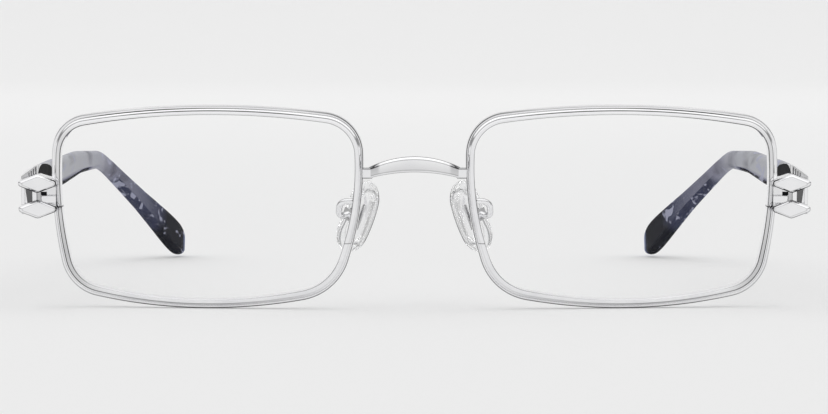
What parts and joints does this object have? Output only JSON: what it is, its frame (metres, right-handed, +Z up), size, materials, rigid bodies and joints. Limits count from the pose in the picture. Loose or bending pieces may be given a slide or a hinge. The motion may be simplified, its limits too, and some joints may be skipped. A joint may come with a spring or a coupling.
{
  "type": "rectangular eyeglasses",
  "caption": "Full-rim rectangular eyeglasses: slim metal rims, arched bridge, clear lenses and pads, stacked lozenge studs at the hinges and folding marbled acetate temples.",
  "frame": {"origin": "on the surface the eyeglasses stand on, under the middle of the whole object's box", "axes": "+X to the right as seen from the front, -Y the way the lenses face, +Y back along the temples, +Z up"},
  "size_m": [0.1398, 0.1432, 0.036],
  "materials": {
    "metal": "polished silver",
    "screw": "bright steel",
    "core_wire": "drawn wire",
    "lens": "clear, polished",
    "nose_pad": "clear, smooth",
    "acetate": "polished slate-blue marbled acetate"
  },
  "bodies": {
    "front": {"bridge": "metal", "left_eyewire": "metal", "left_brow_wire": "metal", "left_lens": "lens", "left_lock_upper": "metal", "left_lock_lower": "metal", "left_lock_screw": "screw", "left_endpiece": "metal", "left_upper_stud": "metal", "left_lower_stud": "metal", "left_front_knuckles": "metal", "left_hinge_screw": "screw", "left_pad_arm": "metal", "left_pad_box": "metal", "left_pad_screw": "screw", "right_eyewire": "metal", "right_brow_wire": "metal", "right_lens": "lens", "right_lock_upper": "metal", "right_lock_lower": "metal", "right_lock_screw": "screw", "right_endpiece": "metal", "right_upper_stud": "metal", "right_lower_stud": "metal", "right_front_knuckles": "metal", "right_hinge_screw": "screw", "right_pad_arm": "metal", "right_pad_box": "metal", "right_pad_screw": "screw"},
    "left_temple": {"left_temple_front": "metal", "left_temple_core": "core_wire", "left_temple_sleeve": "acetate"},
    "right_temple": {"right_temple_front": "metal", "right_temple_core": "core_wire", "right_temple_sleeve": "acetate"},
    "left_pad": {"left_nose_pad": "nose_pad"},
    "right_pad": {"right_nose_pad": "nose_pad"}
  },
  "joints": [
    {"name": "left_temple_fold", "type": "hinge", "parent": "front", "child": "left_temple", "pos_m": [-0.0656, -0.05964, 0.02027], "axis": [0, 0.1045, -0.9945], "range_deg": [0, 79]},
    {"name": "right_temple_fold", "type": "hinge", "parent": "front", "child": "right_temple", "pos_m": [0.0656, -0.05964, 0.02027], "axis": [0, -0.1045, 0.9945], "range_deg": [0, 85]},
    {"name": "left_pad_rock", "type": "hinge", "parent": "front", "child": "left_pad", "pos_m": [-0.01121, -0.06144, 0.01624], "axis": [-0.6078, 0.74, 0.2882], "range_deg": [-5, 5]},
    {"name": "right_pad_rock", "type": "hinge", "parent": "front", "child": "right_pad", "pos_m": [0.01121, -0.06144, 0.01624], "axis": [0.6078, 0.74, 0.2882], "range_deg": [-5, 5]}
  ]
}
